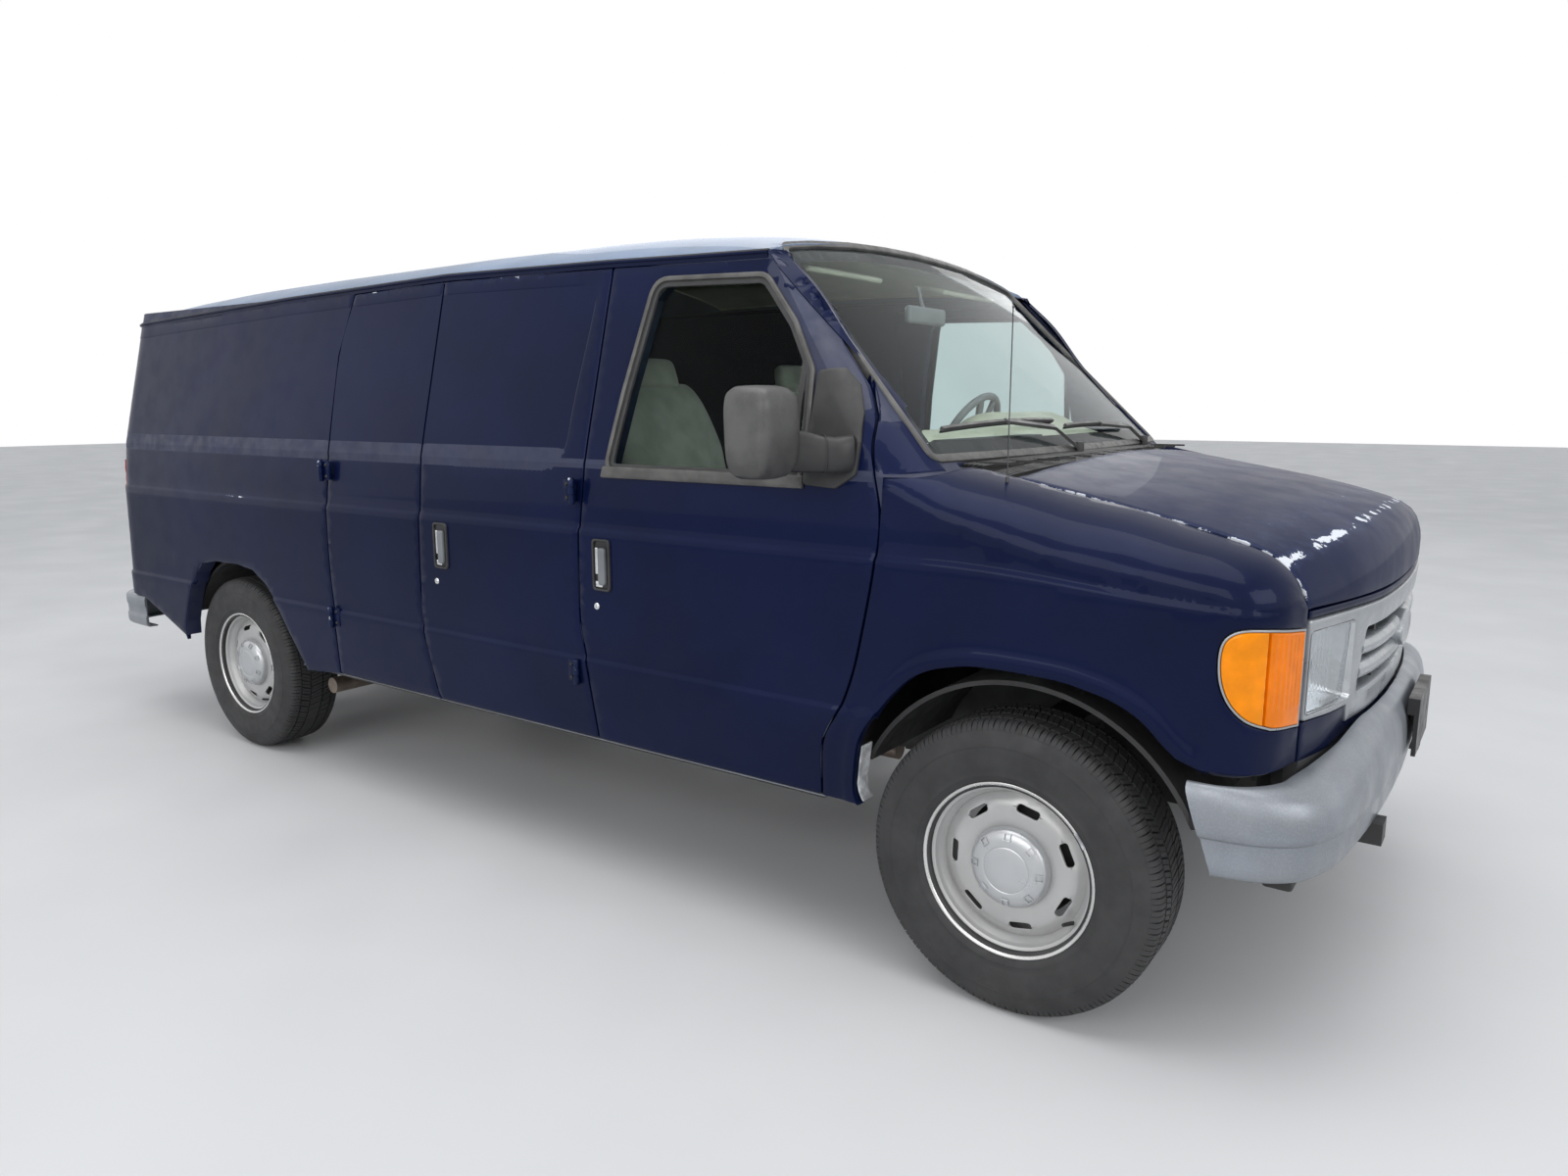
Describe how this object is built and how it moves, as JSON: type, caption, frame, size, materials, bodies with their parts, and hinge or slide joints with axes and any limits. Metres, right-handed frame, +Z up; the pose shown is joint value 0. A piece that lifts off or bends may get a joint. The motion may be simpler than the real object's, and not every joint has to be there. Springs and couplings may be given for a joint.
{
  "type": "full-size panel van",
  "caption": "Full-size panel van with swing-out cargo doors, opening hood, front and rear doors, steered front wheels and rolling wheels.",
  "frame": {"origin": "on the ground, under the middle of the whole vehicle's box", "axes": "+X forward, +Y to the van's left, +Z up"},
  "size_m": [5.384, 2.43, 2.029],
  "materials": {
    "body_paint": "glossy dark blue metallic paint under clear coat",
    "roof_paint": "faded, chalky blue paint",
    "bumper_paint": "dull silver paint, scuffed",
    "grille_plastic": "silver painted plastic",
    "black_plastic": "textured black plastic",
    "window_glass": "clear, slightly green glass",
    "lamp_clear": "clear ribbed lens",
    "lamp_amber": "amber lens",
    "lamp_red": "red lens",
    "chassis_black": "black chassis paint, dusty",
    "engine_iron": "rough casting",
    "exhaust_steel": "dull steel, browned",
    "tank_plastic": "black moulded plastic",
    "floor_paint": "blue paint, worn",
    "cabin_trim": "beige grained plastic",
    "seat_fabric": "grey beige woven cloth",
    "antenna_steel": "dark steel whip",
    "wheel_paint": "silver wheel paint",
    "tyre_rubber": "black rubber, dusty sidewalls"
  },
  "bodies": {
    "root": {"frame_rails": "chassis_black", "floor_pan": "floor_paint", "side_left": "body_paint", "side_right": "body_paint", "roof_panel": "roof_paint", "cowl_panel": "black_plastic", "windshield": "window_glass", "fenders": "body_paint", "header_panel": "body_paint", "grille": "grille_plastic", "headlamps": "lamp_clear", "turn_signals": "lamp_amber", "front_bumper": "bumper_paint", "plate_bracket": "black_plastic", "rear_bumper": "bumper_paint", "tail_lamps": "lamp_red", "engine_block": "engine_iron", "exhaust_pipe": "exhaust_steel", "fuel_tank": "tank_plastic", "rear_axle": "chassis_black", "leaf_springs": "chassis_black", "front_axle_beams": "chassis_black", "dashboard": "cabin_trim", "steering_wheel": "black_plastic", "seats": "seat_fabric", "wipers": "black_plastic", "antenna": "antenna_steel"},
    "hood": {"hood_panel": "body_paint"},
    "front_door_left": {"door_left": "body_paint", "door_glass_left": "window_glass", "mirror_left": "black_plastic"},
    "front_door_right": {"door_right": "body_paint", "door_glass_right": "window_glass", "mirror_right": "black_plastic"},
    "cargo_front": {"cargo_door_front": "body_paint"},
    "cargo_rear": {"cargo_door_rear": "body_paint"},
    "back_door_left": {"rear_door_left": "body_paint", "rear_glass_left": "window_glass"},
    "back_door_right": {"rear_door_right": "body_paint", "rear_glass_right": "window_glass"},
    "steer_left": {"knuckle_left": "chassis_black"},
    "steer_right": {"knuckle_right": "chassis_black"},
    "wheel_front_left": {"rim_front_left": "wheel_paint", "tyre_front_left": "tyre_rubber"},
    "wheel_front_right": {"rim_front_right": "wheel_paint", "tyre_front_right": "tyre_rubber"},
    "wheel_rear_left": {"rim_rear_left": "wheel_paint", "tyre_rear_left": "tyre_rubber"},
    "wheel_rear_right": {"rim_rear_right": "wheel_paint", "tyre_rear_right": "tyre_rubber"}
  },
  "joints": [
    {"name": "hood_hinge", "type": "hinge", "parent": "root", "child": "hood", "pos_m": [1.846, 0, 1.343], "axis": [0, -1, 0], "range_deg": [0, 50]},
    {"name": "front_door_left_hinge", "type": "hinge", "parent": "root", "child": "front_door_left", "pos_m": [1.59, 1.01, 1.1], "axis": [0, 0.0349, -0.9994], "range_deg": [0, 68]},
    {"name": "front_door_right_hinge", "type": "hinge", "parent": "root", "child": "front_door_right", "pos_m": [1.59, -1.01, 1.1], "axis": [0, 0.0349, 0.9994], "range_deg": [0, 68]},
    {"name": "cargo_front_hinge", "type": "hinge", "parent": "root", "child": "cargo_front", "pos_m": [0.5345, -1.0177, 0.9], "axis": [0.0486, 0.0349, 0.9982], "range_deg": [0, 90]},
    {"name": "cargo_rear_hinge", "type": "hinge", "parent": "root", "child": "cargo_rear", "pos_m": [-0.792, -1.0177, 0.9], "axis": [0, -0.0349, -0.9994], "range_deg": [0, 105]},
    {"name": "back_door_left_hinge", "type": "hinge", "parent": "root", "child": "back_door_left", "pos_m": [-2.5705, 0.862, 0.609], "axis": [-0.0356, 0, -0.9994], "range_deg": [0, 105]},
    {"name": "back_door_right_hinge", "type": "hinge", "parent": "root", "child": "back_door_right", "pos_m": [-2.5705, -0.862, 0.609], "axis": [0.0356, 0, 0.9994], "range_deg": [0, 105]},
    {"name": "steer_left_kingpin", "type": "hinge", "parent": "root", "child": "steer_left", "pos_m": [1.937, 0.8215, 0.3677], "axis": [0, 0, 1], "range_deg": [-33, 33]},
    {"name": "steer_right_kingpin", "type": "hinge", "parent": "root", "child": "steer_right", "pos_m": [1.937, -0.8215, 0.3677], "axis": [0, 0, 1], "range_deg": [-33, 33]},
    {"name": "wheel_front_left_spin", "type": "hinge", "parent": "steer_left", "child": "wheel_front_left", "pos_m": [1.937, 0.8815, 0.3677], "axis": [0, 1, 0], "continuous": true},
    {"name": "wheel_front_right_spin", "type": "hinge", "parent": "steer_right", "child": "wheel_front_right", "pos_m": [1.937, -0.8815, 0.3677], "axis": [0, 1, 0], "continuous": true},
    {"name": "wheel_rear_left_spin", "type": "hinge", "parent": "root", "child": "wheel_rear_left", "pos_m": [-1.568, 0.852, 0.3677], "axis": [0, 1, 0], "continuous": true},
    {"name": "wheel_rear_right_spin", "type": "hinge", "parent": "root", "child": "wheel_rear_right", "pos_m": [-1.568, -0.852, 0.3677], "axis": [0, 1, 0], "continuous": true}
  ],
  "couplings": [
    {"joint": "steer_right_kingpin", "follows": "steer_left_kingpin", "ratio": 1}
  ]
}
